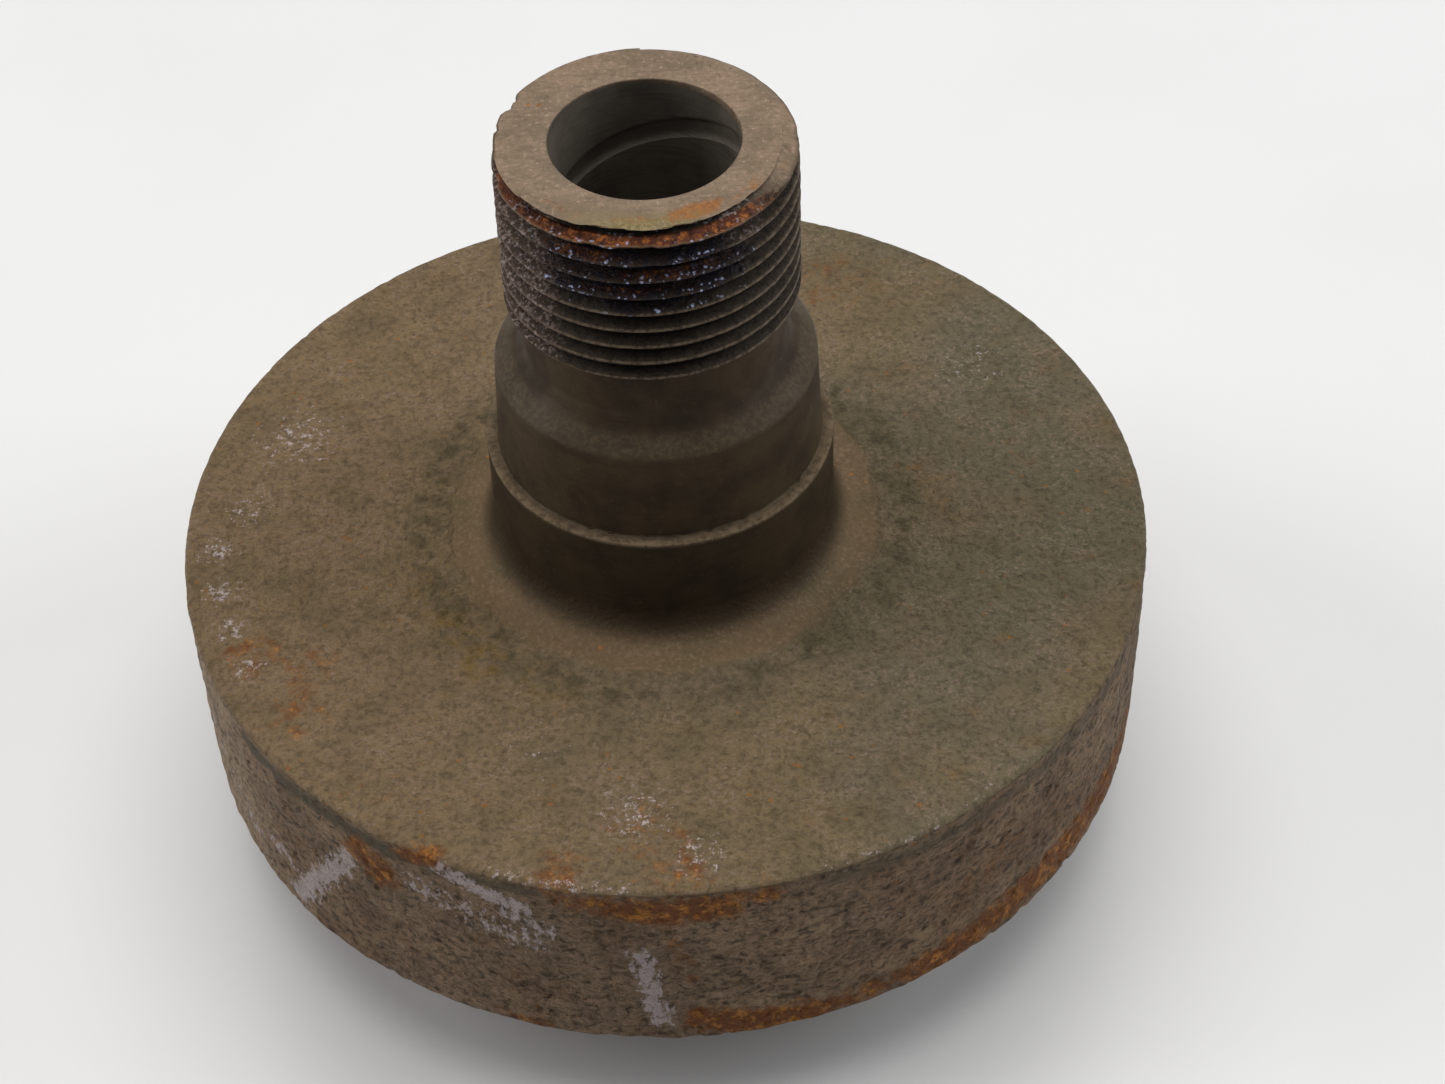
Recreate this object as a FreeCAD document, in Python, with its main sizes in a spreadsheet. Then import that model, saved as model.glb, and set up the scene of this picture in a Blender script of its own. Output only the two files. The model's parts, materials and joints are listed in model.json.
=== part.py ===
import FreeCAD, Part
import math
import os
import Sketcher

# A stepped adapter that narrows from a 4 inch class disc to a 1 inch taper pipe thread.
# Everything is turned about the Z axis.  The origin is the centre of the large end's rim,
# on which the part stands, and +Z points to the small threaded end.

SIZES = {
    # cast disc
    "disc_rad": 57.15,        # rim, 4 inch pipe outside diameter 114.3
    "disc_thick": 26.65,
    "rim_bevel": 1.3,         # broken edge round the top of the rim
    "foot_bevel": 0.8,        # broken edge round the underside of the rim
    "hub_thick": 12.0,        # web of the disc round the stem
    "roof_rad": 24.0,         # top of the conical passage under the web
    # large end
    "spigot_rad": 44.45,      # 3 inch pipe outside diameter 88.9
    "spigot_wall": 5.5,
    "spigot_drop": 15.0,      # how far the spigot stands out below the rim
    "spigot_bevel": 1.5,
    "socket_deep": 8.0,       # how far the spigot sits up inside the disc
    "spigot_leg": 4.0,        # leg of the weld round the spigot
    "spigot_rebate": 0.8,     # how far the spigot is cut back inside the weld and the socket
    # stem, from the disc up
    "stem_rad": 18.7,
    "tail_drop": 3.0,         # stem's tail below the web
    "root_leg": 3.0,          # leg of the weld round the tail
    "collar_rad": 20.0,
    "collar_rise": 14.6,      # ledge above the disc's top face
    "collar_bevel": 0.3,
    "seat_rise": 11.4,        # upper seat above the ledge
    "seat_rad": 18.2,         # upper seat at its top edge
    "shoulder_rise": 2.6,
    "neck_rad": 14.9,
    "neck_rise": 6.7,
    "thread_rise": 20.3,
    "crest_low_rad": 16.93,   # taper 1 in 16 on the diameter
    "crest_top_rad": 16.3,
    "thread_pitch": 2.209,    # 11.5 threads per inch
    "thread_crest": 0.3,      # width of the worn crest
    "thread_root": 0.25,
    "thread_deep": 1.8,       # at the neck end
    "thread_bevel": 0.5,
    # weld pad turned smooth round the foot of the collar
    "pad_wide": 5.4,          # from the collar out to the edge of the smooth ring
    "pad_deep": 4.0,
    "pad_fillet": 4.0,
    "pad_lip": 0.4,           # how far the collar's foot is cut back under the pad
    # bore and bush
    "bore_rad": 10.3,         # 1 inch schedule 160 inside diameter 20.6
    "bush_wall": 1.6,
    "bush_long": 66.0,
    "groove_pitch": 18.0,
    "groove_wide": 2.4,
    "groove_deep": 0.5,
    "groove_start": 9.05,     # first turn above the bush's lower end
}

SHEET = "Sizes"
HORIZONTAL_AXIS = -1
VERTICAL_AXIS = -2
START, END = 1, 2


def make_sheet(doc):
    sheet = doc.addObject("Spreadsheet::Sheet", SHEET)
    for row, (name, value) in enumerate(SIZES.items(), start=1):
        cell = "B%d" % row
        sheet.set("A%d" % row, name)
        sheet.set(cell, str(value))
        sheet.setAlias(cell, name)
    doc.recompute()


def split_terms(text):
    """'a + b - 0.5*c' as a list of (factor, name)."""
    words = ("+ " + text).split()
    terms = []
    for sign, term in zip(words[::2], words[1::2]):
        factor, star, name = term.rpartition("*")
        terms.append((float(sign + (factor or "1")), name))
    return terms


def value_of(text):
    if text == "0":
        return 0.0
    return sum(factor * SIZES[name] for factor, name in split_terms(text))


def formula_of(text):
    return " + ".join("%g * %s.%s" % (factor, SHEET, name) for factor, name in split_terms(text))


def origin_plane(body, role):
    return next(feature for feature in body.Origin.OriginFeatures if feature.Role == role)


def bind_point(sketch, line, end, place):
    """Hold one point of the outline at (radius, height), both given as sums of sheet names."""
    constraints = (("DistanceX", place[0], VERTICAL_AXIS), ("DistanceY", place[1], HORIZONTAL_AXIS))
    for kind, text, axis in constraints:
        if text == "0":
            sketch.addConstraint(Sketcher.Constraint("PointOnObject", line, end, axis))
            continue
        number = sketch.addConstraint(
            Sketcher.Constraint(kind, HORIZONTAL_AXIS, START, line, end, value_of(text)))
        sketch.setExpression("Constraints[%d]" % number, formula_of(text))


def outline(body, name, points, fillet_after=None, fillet_radius=None):
    """A closed outline in the XZ plane through points of (radius, height).

    The run that leaves the point numbered fillet_after climbs inwards as a hollow quarter round.
    """
    sketch = body.newObject("Sketcher::SketchObject", name)
    sketch.AttachmentSupport = [(origin_plane(body, "XZ_Plane"), "")]
    sketch.MapMode = "FlatFace"
    corners = [FreeCAD.Vector(value_of(x), value_of(z), 0) for x, z in points]
    count = len(corners)
    # A fillet is stored anticlockwise, from its top to its foot, so its ends are the other way.
    ends = [(START, END)] * count
    for number, corner in enumerate(corners):
        following = corners[(number + 1) % count]
        if number == fillet_after:
            centre = FreeCAD.Vector(corner.x, following.y, 0)
            circle = Part.Circle(centre, FreeCAD.Vector(0, 0, 1), value_of(fillet_radius))
            sketch.addGeometry(Part.ArcOfCircle(circle, math.pi, 1.5 * math.pi))
            ends[number] = (END, START)
        else:
            sketch.addGeometry(Part.LineSegment(corner, following))
    for number in range(count):
        after = (number + 1) % count
        sketch.addConstraint(Sketcher.Constraint(
            "Coincident", number, ends[number][1], after, ends[after][0]))
    for number, place in enumerate(points):
        bind_point(sketch, number, ends[number][0], place)
    if fillet_after is not None:
        number = sketch.addConstraint(
            Sketcher.Constraint("Radius", fillet_after, value_of(fillet_radius)))
        sketch.setExpression("Constraints[%d]" % number, formula_of(fillet_radius))
    return sketch


def turned_body(doc, label, height, points, **fillet):
    """A ring turned about Z from its outline and set at its height above the floor."""
    body = doc.addObject("PartDesign::Body", label)
    body.Label = label
    if height == "0":
        body.Placement.Base.z = 0.0
    else:
        body.setExpression("Placement.Base.z", formula_of(height))
    sketch = outline(body, label + "_outline", points, **fillet)
    turn = body.newObject("PartDesign::Revolution", label + "_turning")
    turn.Profile = sketch
    turn.ReferenceAxis = (sketch, ["V_Axis"])
    turn.Angle = 360
    doc.recompute()
    return body


def cut_helix(doc, body, name, points, pitch, rise, left_handed=False):
    """Cut a helical groove whose section is the outline through points."""
    before = body.Shape.Volume
    sketch = outline(body, name + "_section", points)
    helix = body.newObject("PartDesign::SubtractiveHelix", name)
    helix.Profile = sketch
    helix.ReferenceAxis = (sketch, ["V_Axis"])
    helix.Mode = "pitch-height-angle"
    helix.LeftHanded = left_handed
    helix.Angle = 0
    helix.setExpression("Pitch", formula_of(pitch))
    helix.setExpression("Height", formula_of(rise))
    doc.recompute()
    if not body.Shape.Volume < before:
        raise RuntimeError(name + " cuts nothing")


DISC_FOOT = "spigot_drop"
DISC_TOP = "spigot_drop + disc_thick"
WEB_FOOT = DISC_TOP + " - hub_thick"
STEM_FOOT = WEB_FOOT + " - tail_drop"
STEM_TOP = DISC_TOP + " + collar_rise + seat_rise + shoulder_rise + neck_rise + thread_rise"


def flange_body(doc):
    """Heavy cast disc: bored for the stem, socketed below for the spigot, coned between."""
    return turned_body(doc, "flange_body", DISC_FOOT, [
        ("spigot_rad - spigot_rebate", "0"),
        ("disc_rad - foot_bevel", "0"),
        ("disc_rad", "foot_bevel"),
        ("disc_rad", "disc_thick - rim_bevel"),
        ("disc_rad - rim_bevel", "disc_thick"),
        ("collar_rad + pad_wide", "disc_thick"),
        ("collar_rad + pad_wide", "disc_thick - pad_deep"),
        ("collar_rad - pad_lip", "disc_thick - pad_deep"),
        ("collar_rad - pad_lip", "disc_thick"),
        ("stem_rad", "disc_thick"),
        ("stem_rad", "disc_thick - hub_thick"),
        ("roof_rad", "disc_thick - hub_thick"),
        ("spigot_rad - spigot_wall", "socket_deep"),
        ("spigot_rad - spigot_rebate", "socket_deep"),
    ])


def large_end_spigot(doc):
    """Plain pipe spigot of the large end, standing in the disc's socket."""
    return turned_body(doc, "large_end_spigot", "0", [
        ("spigot_rad - spigot_wall", "0"),
        ("spigot_rad - spigot_bevel", "0"),
        ("spigot_rad", "spigot_bevel"),
        ("spigot_rad", "spigot_drop - spigot_leg"),
        ("spigot_rad - spigot_rebate", "spigot_drop - spigot_leg"),
        ("spigot_rad - spigot_rebate", "spigot_drop + socket_deep"),
        ("spigot_rad - spigot_wall", "spigot_drop + socket_deep"),
    ])


def spigot_weld(doc):
    """Fillet weld between the spigot and the underside of the disc."""
    return turned_body(doc, "spigot_weld", "spigot_drop - spigot_leg", [
        ("spigot_rad - spigot_rebate", "0"),
        ("spigot_rad", "0"),
        ("spigot_rad + spigot_leg", "spigot_leg"),
        ("spigot_rad - spigot_rebate", "spigot_leg"),
    ])


def threaded_stem(doc):
    """Hollow turned stem: tail, seats, shoulder, relief neck and taper pipe thread."""
    seat_foot = "tail_drop + hub_thick + collar_rise"
    seat_top = seat_foot + " + seat_rise"
    neck_foot = seat_top + " + shoulder_rise"
    thread_foot = neck_foot + " + neck_rise"
    top = thread_foot + " + thread_rise"
    body = turned_body(doc, "threaded_stem", STEM_FOOT, [
        ("bore_rad", "0"),
        ("stem_rad", "0"),
        ("stem_rad", seat_foot),
        ("seat_rad", seat_top),
        ("neck_rad", neck_foot),
        ("neck_rad", thread_foot),
        ("crest_low_rad - thread_bevel", thread_foot),
        ("crest_low_rad", thread_foot + " + thread_bevel"),
        ("crest_top_rad", top + " - thread_bevel"),
        ("crest_top_rad - thread_bevel", top),
        ("bore_rad + bush_wall", top),
        ("bore_rad + bush_wall", top + " - bush_long"),
        ("bore_rad", top + " - bush_long"),
    ])
    # The section starts in the open relief neck and stands slightly proud of the crests.  The
    # taper is in the crests alone: the root of the thread keeps one radius.
    middle = thread_foot + " - thread_pitch"
    root = "crest_low_rad - thread_deep"
    proud = "crest_low_rad + thread_root"
    half_root = "0.5*thread_root"
    half_mouth = "0.5*thread_pitch - 0.5*thread_crest + 0.5*thread_root"
    cut_helix(doc, body, "taper_thread", [
        (root, middle + " + " + half_root),
        (root, middle + " - " + half_root),
        (proud, middle + " - 0.5*thread_pitch + 0.5*thread_crest - " + half_root),
        (proud, middle + " + " + half_mouth),
    ], "thread_pitch", "thread_rise + 2*thread_pitch")
    return body


def seat_collar(doc):
    """Thin ring shrunk on the stem above the disc; its top end is the sharp ledge."""
    return turned_body(doc, "seat_collar", DISC_TOP, [
        ("stem_rad", "0"),
        ("collar_rad - pad_lip", "0"),
        ("collar_rad - pad_lip", "pad_fillet"),
        ("collar_rad", "pad_fillet"),
        ("collar_rad", "collar_rise - collar_bevel"),
        ("collar_rad - collar_bevel", "collar_rise"),
        ("stem_rad", "collar_rise"),
    ])


def base_weld(doc):
    """Weld pad round the foot of the collar, turned to a smooth hollow fillet."""
    return turned_body(doc, "base_weld", DISC_TOP + " - pad_deep", [
        ("collar_rad - pad_lip", "0"),
        ("collar_rad + pad_wide", "0"),
        ("collar_rad + pad_wide", "pad_deep"),
        ("collar_rad + pad_fillet", "pad_deep"),
        ("collar_rad", "pad_deep + pad_fillet"),
        ("collar_rad - pad_lip", "pad_deep + pad_fillet"),
    ], fillet_after=3, fillet_radius="pad_fillet")


def root_weld(doc):
    """Fillet weld round the stem's tail, under the web of the disc."""
    return turned_body(doc, "root_weld", WEB_FOOT + " - root_leg", [
        ("stem_rad", "0"),
        ("stem_rad + root_leg", "root_leg"),
        ("stem_rad", "root_leg"),
    ])


def bore_bush(doc):
    """Bush pressed into the stem, flush with its mouth, with a left-hand spiral oil groove."""
    body = turned_body(doc, "bore_bush", STEM_TOP + " - bush_long", [
        ("bore_rad", "0"),
        ("bore_rad + bush_wall", "0"),
        ("bore_rad + bush_wall", "bush_long"),
        ("bore_rad", "bush_long"),
    ])
    cut_helix(doc, body, "oil_groove", [
        ("bore_rad - groove_deep", "groove_start"),
        ("bore_rad + groove_deep", "groove_start"),
        ("bore_rad + groove_deep", "groove_start + groove_wide"),
        ("bore_rad - groove_deep", "groove_start + groove_wide"),
    ], "groove_pitch", "bush_long - groove_start", left_handed=True)
    return body


def check(doc, bodies):
    for thing in doc.Objects:
        if {"Invalid", "Error"} & set(thing.State):
            raise RuntimeError("%s failed: %s" % (thing.Label, thing.State))
    for body in bodies:
        if body.Shape.isNull() or not body.Shape.isValid():
            raise RuntimeError(body.Label + " has no valid shape")
        if len(body.Shape.Solids) != 1:
            raise RuntimeError(body.Label + " isn't one solid")


def main():
    doc = FreeCAD.newDocument("stepped_reducer")
    make_sheet(doc)
    makers = (flange_body, large_end_spigot, spigot_weld, threaded_stem,
              seat_collar, base_weld, root_weld, bore_bush)
    bodies = [make(doc) for make in makers]
    doc.recompute()
    check(doc, bodies)
    os.makedirs("parts", exist_ok=True)
    for body in bodies:
        body.Shape.exportStep("parts/%s.step" % body.Label)
        print(body.Label, round(body.Shape.Volume, 1), body.Shape.BoundBox)


main()
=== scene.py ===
import json
import math

import bpy
import numpy as np
from mathutils import Matrix, Vector


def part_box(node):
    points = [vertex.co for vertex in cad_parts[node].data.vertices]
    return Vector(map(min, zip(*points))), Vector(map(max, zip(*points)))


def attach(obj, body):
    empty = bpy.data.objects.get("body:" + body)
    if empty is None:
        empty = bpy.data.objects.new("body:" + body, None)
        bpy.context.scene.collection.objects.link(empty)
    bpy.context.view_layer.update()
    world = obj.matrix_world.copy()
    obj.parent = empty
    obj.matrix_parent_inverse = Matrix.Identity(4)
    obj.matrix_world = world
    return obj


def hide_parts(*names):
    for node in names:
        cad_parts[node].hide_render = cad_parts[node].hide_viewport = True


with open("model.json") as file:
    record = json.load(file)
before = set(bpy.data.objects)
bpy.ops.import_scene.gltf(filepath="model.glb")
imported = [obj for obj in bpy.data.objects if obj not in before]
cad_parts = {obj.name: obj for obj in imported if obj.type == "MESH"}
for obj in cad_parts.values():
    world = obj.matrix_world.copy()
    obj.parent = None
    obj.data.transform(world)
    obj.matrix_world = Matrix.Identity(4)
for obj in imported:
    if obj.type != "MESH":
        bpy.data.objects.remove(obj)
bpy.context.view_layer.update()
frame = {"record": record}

# A rusty stepped reducer on a white enamel table.  Lengths in this script are in millimetres,
# heights are measured up from the table, and angles are in degrees round the Z axis: 0 faces the
# viewer (-Y) and they grow towards +X.

MM = 0.001

# ---------------------------------------------------------------- sizes, from the frame


def node_size(node):
    """(lowest z, highest z, largest radius) of a CAD node in millimetres."""
    low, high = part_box(node)
    return low.z / MM, high.z / MM, high.x / MM


def mount_radius(name):
    mounts = frame["record"]["mounts"]
    return next(mount["dims"]["r_mm"] for mount in mounts if mount["name"] == name)


RIM_FOOT, DISC_TOP, RIM_RAD = node_size("flange_body")
STEM_FOOT, STEM_TOP, STEM_RAD = node_size("threaded_stem")
PAD_FOOT, _, PAD_RAD = node_size("base_weld")
COLLAR_TOP, COLLAR_RAD = node_size("seat_collar")[1:]
BUSH_FOOT, BUSH_TOP, BUSH_RAD = node_size("bore_bush")
SPIGOT_TOP, SPIGOT_RAD = node_size("large_end_spigot")[1:]
SPIGOT_WELD_FOOT, SPIGOT_WELD_TOP, SPIGOT_WELD_RAD = node_size("spigot_weld")
ROOT_WELD_FOOT, WEB_FOOT, ROOT_WELD_RAD = node_size("root_weld")
BORE_RAD = mount_radius("bore")
PIPE_BORE_RAD = mount_radius("large_end_bore")

# Sizes of the turned steps that no box gives, from the top of the stem down.
CREST_TOP_RAD = 16.3
PITCH = 2.209
THREAD_DEEP = 1.75
TAPER = 1 / 32                  # growth of the crests' radius for each mm down
THREAD_FOOT = STEM_TOP - 20.2
NECK_RAD = 14.9
SHOULDER_FOOT = STEM_TOP - 29.6
SEAT_RAD = 18.2                 # upper seat at its top edge
FILLET = 4.0                    # hollow round the collar's foot
ROOF_RAD = 24.0                 # top of the conical passage under the web
PAD_LIP = 0.4                   # how far the pad reaches in under the collar
ROOM = 0.01                     # gap that keeps two pieces' faces apart
SAME = 1e-4                     # points this near are one point

# ---------------------------------------------------------------- noise on points


def lattice(cell, seed):
    """A repeatable number from 0 to 1 for each whole-number cell."""
    x, y, z = (cell[..., axis].astype(np.int64).astype(np.uint32) for axis in range(3))
    h = x * np.uint32(374761393) + y * np.uint32(668265263) + z * np.uint32(2147483647)
    h = h + np.uint32(seed * 974711 + 12345)
    h = (h ^ (h >> np.uint32(13))) * np.uint32(1274126177)
    h = (h ^ (h >> np.uint32(16))) * np.uint32(2246822519)
    return ((h ^ (h >> np.uint32(15))) & np.uint32(0xFFFFFF)).astype(float) / 0xFFFFFF


def noise(points, size, seed=0):
    """Smooth noise from -1 to 1 with features about size mm across."""
    scaled = points / size
    cell = np.floor(scaled)
    part = scaled - cell
    part = part * part * (3 - 2 * part)
    total = np.zeros(len(points))
    for dx in (0, 1):
        for dy in (0, 1):
            for dz in (0, 1):
                weight = (np.where(dx, part[:, 0], 1 - part[:, 0])
                          * np.where(dy, part[:, 1], 1 - part[:, 1])
                          * np.where(dz, part[:, 2], 1 - part[:, 2]))
                total += weight * lattice(cell + (dx, dy, dz), seed)
    return 2 * total - 1


def fractal(points, size, octaves=3, seed=0):
    """Noise from -1 to 1 whose largest features are about size mm across."""
    total = np.zeros(len(points))
    weight_sum = 0.0
    for octave in range(octaves):
        weight = 0.5 ** octave
        total += weight * noise(points, size * weight, seed + octave)
        weight_sum += weight
    return total / weight_sum


def pits(points, size, share, seed=0):
    """1 at the middle of scattered round pits, 0 between them.

    share is how many of the cells, size mm across, have a pit.
    """
    scaled = points / size
    cell = np.floor(scaled)
    depth = np.zeros(len(points))
    for dx in (-1, 0, 1):
        for dy in (-1, 0, 1):
            for dz in (-1, 0, 1):
                other = cell + (dx, dy, dz)
                centre = other + 0.5 + 0.7 * np.stack(
                    [lattice(other, seed + axis) - 0.5 for axis in (1, 2, 3)], axis=1)
                radius = 0.25 + 0.35 * lattice(other, seed + 4)
                away = np.linalg.norm(scaled - centre, axis=1) / radius
                bowl = np.clip(1 - away * away, 0, 1)
                depth = np.maximum(depth, np.where(lattice(other, seed + 5) < share, bowl, 0))
    return depth


def smooth_step(value, low, high):
    """0 below low, 1 above high, smooth between them."""
    part = np.clip((value - low) / (high - low), 0, 1)
    return part * part * (3 - 2 * part)


def bump_at(value, centre, half_width):
    """A smooth hump: 1 at centre, 0 further than half_width away."""
    part = np.clip(1 - np.abs(value - centre) / half_width, 0, 1)
    return part * part * (3 - 2 * part)


def turn_between(angle, centre):
    """Signed angle from centre, in degrees, the short way round."""
    return (angle - centre + 180) % 360 - 180


# ---------------------------------------------------------------- turned meshes


def walk(corners, step):
    """Points along straight runs between corners of (radius, height), about step mm apart.

    A corner may carry a third number, the step for the run that leaves it.
    """
    points = []
    for start, end in zip(corners, corners[1:]):
        run_step = start[2] if len(start) > 2 else step
        length = math.hypot(end[0] - start[0], end[1] - start[1])
        count = max(1, round(length / run_step))
        for part in range(count):
            share = part / count
            points.append((start[0] + share * (end[0] - start[0]),
                           start[1] + share * (end[1] - start[1])))
    points.append(tuple(corners[-1][:2]))
    return points


def quarter(centre, radius, start, end, count):
    """Points on an arc of the outline, between two angles in degrees."""
    angles = (math.radians(start + (end - start) * part / count) for part in range(count + 1))
    return [(centre[0] + radius * math.cos(a), centre[1] + radius * math.sin(a)) for a in angles]


def polar(points):
    """(radius, angle in degrees, height) of each point."""
    radius = np.hypot(points[:, 0], points[:, 1])
    return radius, np.degrees(np.arctan2(points[:, 0], -points[:, 1])), points[:, 2]


def surface(radius, height, angle):
    """x, y, z arrays of a turned surface, from arrays of the same shape."""
    turn = np.radians(angle)
    return np.stack([radius * np.sin(turn), -radius * np.cos(turn), height], axis=-1)


def turned(name, rows, relief=None, masks=None, level=None):
    """A closed ring of a mesh from a grid of points: rows (radius, height) by columns.

    rows is an array (rows, columns + 1, 2).  relief(points) is how far each point moves along
    its normal, or straight up at the height level.  masks maps attribute names to functions of
    the points before they move.
    """
    count, columns = rows.shape[0], rows.shape[1] - 1
    angle = np.linspace(-180, 180, columns + 1)[None, :]
    grid = surface(rows[..., 0], rows[..., 1], np.broadcast_to(angle, rows.shape[:2]))
    here = np.arange(count)[:, None] * (columns + 1) + np.arange(columns)[None, :]
    above = np.roll(here, -1, axis=0)
    quads = np.stack([here, here + 1, above + 1, above], axis=-1).reshape(-1, 4)
    groups, points = weld(quads, grid.reshape(-1, 3))
    smooth_points = points
    if relief is not None:
        normals = point_normals(points, groups)
        if level is not None:
            normals[np.abs(points[:, 2] - level) < SAME] = (0, 0, 1)
        points = points + normals * relief(points)[:, None]
    corners = np.concatenate([group.ravel() for group in groups])
    sizes = np.concatenate([np.full(len(group), group.shape[1]) for group in groups])
    mesh = bpy.data.meshes.new(name)
    mesh.vertices.add(len(points))
    mesh.vertices.foreach_set("co", (points * MM).ravel())
    mesh.loops.add(len(corners))
    mesh.loops.foreach_set("vertex_index", corners)
    mesh.polygons.add(len(sizes))
    mesh.polygons.foreach_set("loop_start", np.cumsum(sizes) - sizes)
    mesh.update(calc_edges=True)
    mesh.validate()
    mesh.shade_smooth()
    mesh.set_sharp_from_angle(angle=math.radians(SHARP_ANGLE))
    for label, rule in (masks or {}).items():
        layer = mesh.attributes.new(label, "FLOAT", "POINT")
        layer.data.foreach_set("value", np.clip(rule(smooth_points), 0, 1).astype(np.float32))
    piece = bpy.data.objects.new(name, mesh)
    bpy.context.scene.collection.objects.link(piece)
    return piece


def weld(quads, points):
    """Joins points that coincide, and sorts what is left of the faces into quads and triangles."""
    keys = np.round(points / SAME).astype(np.int64)
    _, first, joined = np.unique(keys, axis=0, return_index=True, return_inverse=True)
    quads = joined.reshape(-1)[quads]
    same = quads == np.roll(quads, -1, axis=1)
    whole = quads[~same.any(axis=1)]
    triangles = [np.roll(quads[same[:, side] & (same.sum(axis=1) == 1)], -side, axis=1)[:, 1:]
                 for side in range(4)]
    return [whole, np.concatenate(triangles)], points[first]


def point_normals(points, groups):
    """The unit normal at each point, from the faces round it, larger faces counting for more."""
    normals = np.zeros_like(points)
    for group in groups:
        first = points[group[:, 2]] - points[group[:, 0]]
        second = points[group[:, -1]] - points[group[:, 1]]
        face_normals = np.cross(first, second)
        for axis in range(3):
            weight = face_normals[:, axis]
            for corner in group.T:
                normals[:, axis] += np.bincount(corner, weight, len(points))
    return normals / np.maximum(np.linalg.norm(normals, axis=1, keepdims=True), 1e-12)


def round_rows(outline, columns):
    """Rows of a plain turned outline: each point gives one ring."""
    return np.repeat(np.array(outline, float)[:, None, :], columns + 1, axis=1)


# ---------------------------------------------------------------- the pieces' meshes

# Columns round each piece.
DISC_COLUMNS = 900
STEM_COLUMNS = 480
SPIGOT_COLUMNS = 420
WELD_COLUMNS = 360
SHARP_ANGLE = 42                # edges that turn more than this stay sharp


def top_skin(points):
    """Relief of the disc's top: smooth turned steel near the stem, pitted casting further out."""
    radius = polar(points)[0]
    cast = smooth_step(radius, PAD_RAD - 0.6, PAD_RAD + 1.6)
    belt = bump_at(radius, PAD_RAD + 2.4, 3.2)
    lumps = fractal(points, 1.6, 3, seed=11)
    holes = pits(points, 1.15, 0.45, seed=21)
    fine = 0.010 * fractal(points, 1.4, 2, seed=13)
    return fine + cast * (0.09 * lumps - 0.12 * holes) + belt * (0.10 * lumps - 0.08)


def cast_relief(points):
    """Rough casting skin: lumps, dimples and pits, rougher on the rim than on the top."""
    radius, _, height = polar(points)
    on_top = smooth_step(height, DISC_TOP - 1.0, DISC_TOP - 0.2) * (radius > PAD_RAD - 0.1)
    on_rim = (1 - on_top) * smooth_step(radius, SPIGOT_WELD_RAD, SPIGOT_WELD_RAD + 3)
    lumps = fractal(points * (1, 1, 1.5), 1.9, 3, seed=15)
    holes = pits(points, 1.5, 0.55, seed=25)
    smooth_band = dark_band(points)
    broad = 0.10 * fractal(points, 14, 2, seed=3)
    rim = (0.20 * lumps - 0.30 * holes) * (1 - 0.8 * smooth_band)
    wear = np.clip(fractal(points, 7, 2, 5), 0, 1) * bump_at(height, DISC_TOP - 0.6, 1.4)
    return on_top * (top_skin(points) - 0.03) + on_rim * (broad + rim - 0.24 - 0.25 * wear)


def flange_outline():
    round_edge = 1.1
    foot_edge = 0.7
    top_edge = quarter((RIM_RAD - round_edge, DISC_TOP - round_edge), round_edge, 0, 90, 7)
    foot = quarter((RIM_RAD - foot_edge, RIM_FOOT + foot_edge), foot_edge, -90, 0, 4)
    under = walk([(STEM_RAD, WEB_FOOT), (ROOF_RAD, WEB_FOOT),
                  (PIPE_BORE_RAD, SPIGOT_TOP), (SPIGOT_RAD, SPIGOT_TOP),
                  (SPIGOT_RAD, RIM_FOOT), foot[0]], 1.2)
    outline = under[:-1] + foot[:-1]
    outline += walk([foot[-1], top_edge[0]], 0.38)[:-1] + top_edge[:-1]
    outline += walk([top_edge[-1], (PAD_RAD, DISC_TOP)], 0.40)
    outline += walk([(PAD_RAD, PAD_FOOT), (COLLAR_RAD - PAD_LIP, PAD_FOOT),
                     (COLLAR_RAD - PAD_LIP, DISC_TOP - 0.5), (STEM_RAD, DISC_TOP - 0.5),
                     (STEM_RAD, DISC_TOP - 1)], 2.0)
    return outline


def top_spot(points, angle, radius, reach):
    """A soft spot on the disc's top, reach mm from its middle to its edge."""
    turn = math.radians(angle)
    away = np.hypot(points[:, 0] - radius * math.sin(turn), points[:, 1] + radius * math.cos(turn))
    return bump_at(away, 0, reach) * (points[:, 2] > DISC_TOP - 0.6)


def rim_streak(points, start, end, half_width):
    """A soft streak on the rim from start to end, each (angle, mm below the top edge)."""
    radius, at, height = polar(points)
    per_degree = math.radians(1) * RIM_RAD
    along = np.array([turn_between(end[0], start[0]) * per_degree, end[1] - start[1]])
    away = np.stack([turn_between(at, start[0]) * per_degree, DISC_TOP - height - start[1]], axis=1)
    share = np.clip(away @ along / (along @ along), 0, 1)
    distance = np.linalg.norm(away - share[:, None] * along, axis=1)
    return bump_at(distance, 0, half_width) * smooth_step(radius, RIM_RAD - 3, RIM_RAD - 1)


def strongest(points, streaks, spots=()):
    """The strongest of the given marks at each point, from 0 to 1.

    A streak is (start, end, half width, strength), on the rim.  A spot is (angle, radius, reach,
    strength), on the disc's top.
    """
    marks = [strength * rim_streak(points, *place) for *place, strength in streaks]
    marks += [strength * top_spot(points, *place) for *place, strength in spots]
    return np.max(marks, axis=0)


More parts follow.
